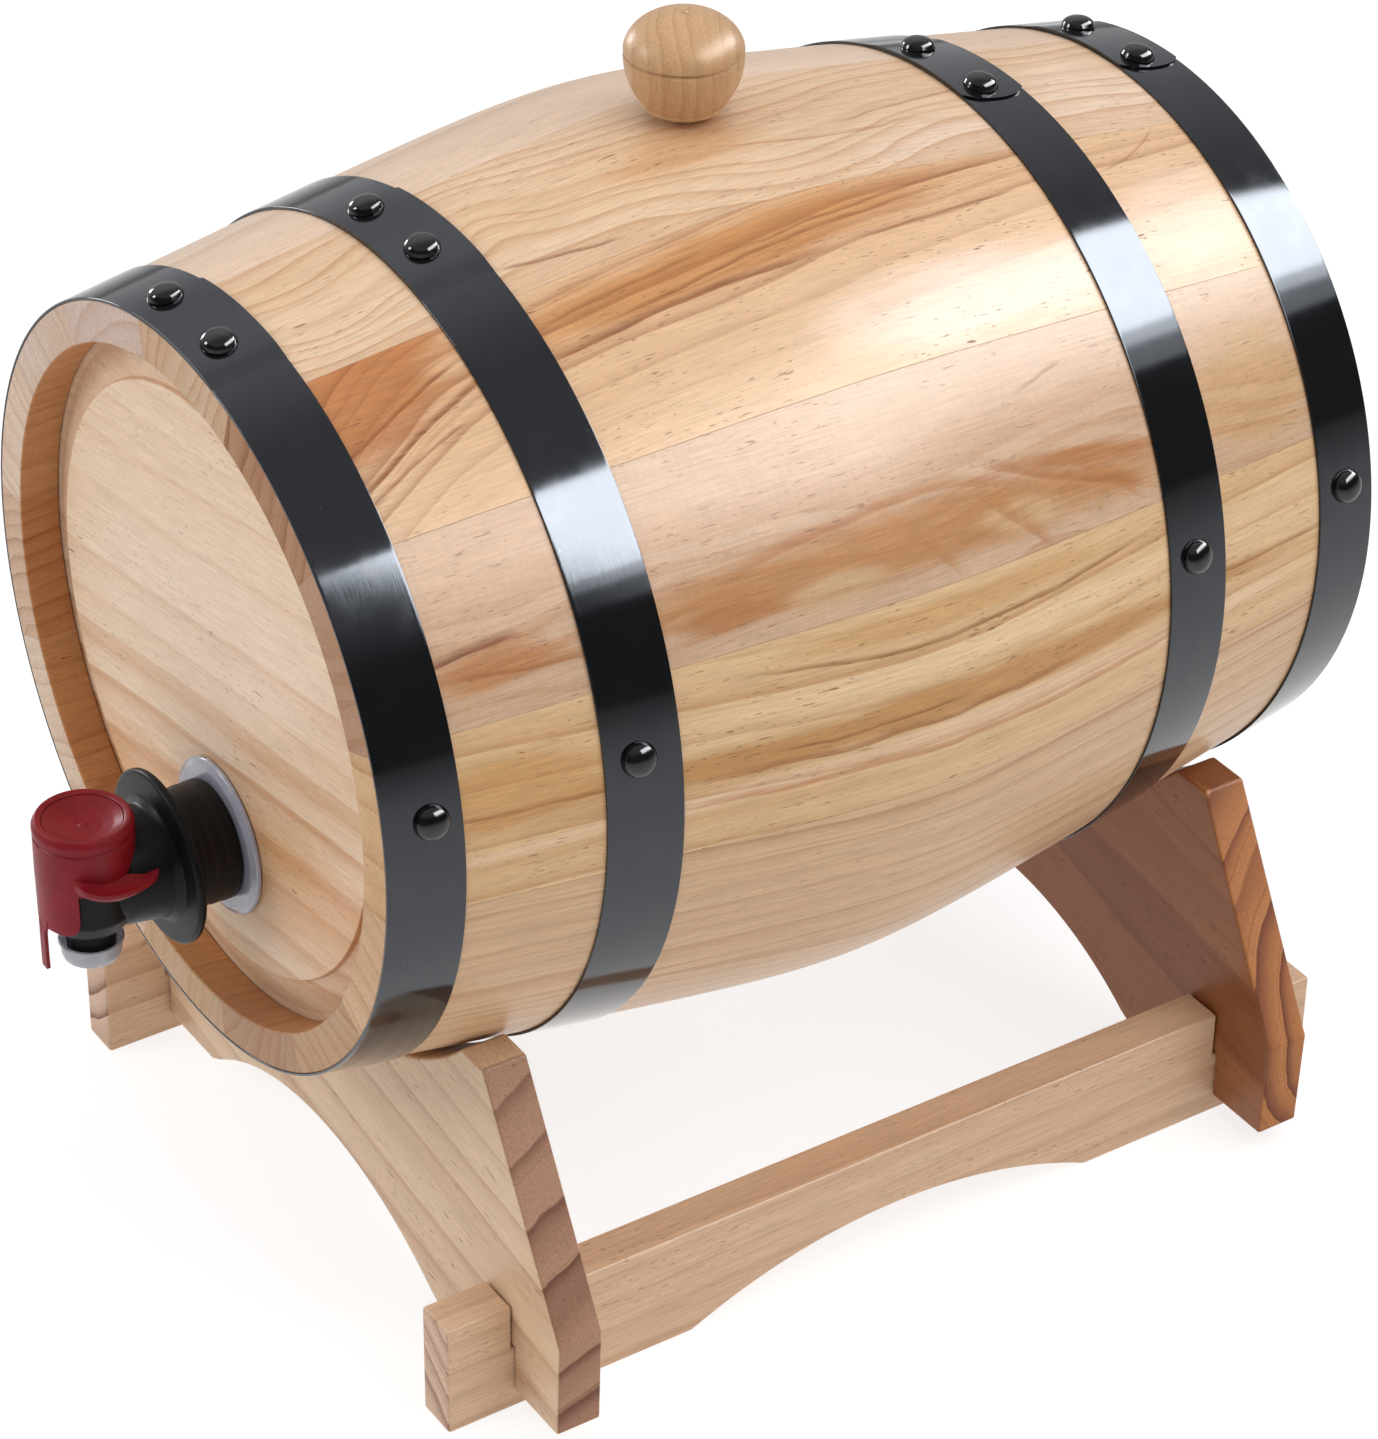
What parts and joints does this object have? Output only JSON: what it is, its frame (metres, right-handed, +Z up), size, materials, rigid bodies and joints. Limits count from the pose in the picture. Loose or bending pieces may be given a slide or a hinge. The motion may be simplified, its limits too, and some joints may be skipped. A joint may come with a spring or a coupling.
{
  "type": "small wine barrel with tap on a cradle stand",
  "caption": "Small coopered wine barrel of pale wood with black riveted hoops, a wooden bung and a red and black push-button tap, resting on a low cradle stand.",
  "frame": {"origin": "the middle of the whole object's footprint, on the floor under the rails", "axes": "+Z up; +Y along the barrel's axis from the tap end to the blind end, so the tap faces -Y; +X to the right of someone who faces the blind end from the tap end"},
  "size_m": [0.225, 0.3147, 0.2986],
  "materials": {
    "stave_wood": "clear satin varnish over straight-grained softwood, each stave with its own figure",
    "head_wood": "turned and varnished softwood board, grain running diagonally",
    "stand_wood": "sanded and oiled softwood board with eased edges",
    "bung_wood": "turned wood, waxed to a soft shine",
    "black_strap": "satin black paint on rolled steel strap",
    "black_rivet": "gloss black paint on a domed head",
    "black_plastic": "moulded black polypropylene, low sheen",
    "dark_tape": "dark sealing tape wound round the neck",
    "red_plastic": "deep red moulded polypropylene, slightly translucent at thin edges",
    "grey_plastic": "grey translucent polyethylene",
    "white_plastic": "natural milky polyethylene",
    "seal_rubber": "black food-grade rubber",
    "liner_film": "silvery laminated film, wrinkled"
  },
  "bodies": {
    "stand": {"front_end_board": "stand_wood", "rear_end_board": "stand_wood", "right_rail": "stand_wood", "left_rail": "stand_wood"},
    "barrel": {"stave_01": "stave_wood", "stave_02": "stave_wood", "stave_03": "stave_wood", "stave_04": "stave_wood", "stave_05": "stave_wood", "stave_06": "stave_wood", "stave_07": "stave_wood", "stave_08": "stave_wood", "stave_09": "stave_wood", "stave_10": "stave_wood", "stave_11": "stave_wood", "stave_12": "stave_wood", "stave_13": "stave_wood", "stave_14": "stave_wood", "hoop_1_front_head": "black_strap", "hoop_2_front_quarter": "black_strap", "hoop_3_rear_quarter": "black_strap", "hoop_4_rear_head": "black_strap", "rivet_1_top_a": "black_rivet", "rivet_1_top_b": "black_rivet", "rivet_1_right": "black_rivet", "rivet_1_left": "black_rivet", "rivet_2_top_a": "black_rivet", "rivet_2_top_b": "black_rivet", "rivet_2_right": "black_rivet", "rivet_2_left": "black_rivet", "rivet_3_top_a": "black_rivet", "rivet_3_top_b": "black_rivet", "rivet_3_right": "black_rivet", "rivet_3_left": "black_rivet", "rivet_4_top_a": "black_rivet", "rivet_4_top_b": "black_rivet", "rivet_4_right": "black_rivet", "rivet_4_left": "black_rivet", "front_head": "head_wood", "rear_head": "head_wood", "liner_gland": "grey_plastic", "liner_bag": "liner_film"},
    "bung": {"bung": "bung_wood"},
    "tap": {"tap_body": "black_plastic", "neck_tape": "dark_tape", "spigot_seal": "seal_rubber", "tap_collar": "red_plastic"},
    "button": {"tap_button": "red_plastic", "valve_stem": "white_plastic", "valve_seal": "seal_rubber"},
    "nozzle_cap": {"nozzle_cap": "white_plastic"}
  },
  "joints": [
    {"name": "barrel_lift", "type": "slide", "parent": "stand", "child": "barrel", "axis": [0, 0, 1], "range_m": [0, 0.1]},
    {"name": "bung_pull", "type": "slide", "parent": "barrel", "child": "bung", "axis": [0, 0, 1], "range_m": [0, 0.045]},
    {"name": "tap_swivel", "type": "hinge", "parent": "barrel", "child": "tap", "pos_m": [0.002, -0.126, 0.121], "axis": [0, 1, 0], "range_deg": [-90, 90]},
    {"name": "button_press", "type": "slide", "parent": "tap", "child": "button", "axis": [0, 0, -1], "range_m": [0, 0.0035], "stiffness_N_per_m": 800},
    {"name": "cap_pull", "type": "slide", "parent": "tap", "child": "nozzle_cap", "axis": [0, 0, -1], "range_m": [0, 0.012]}
  ]
}
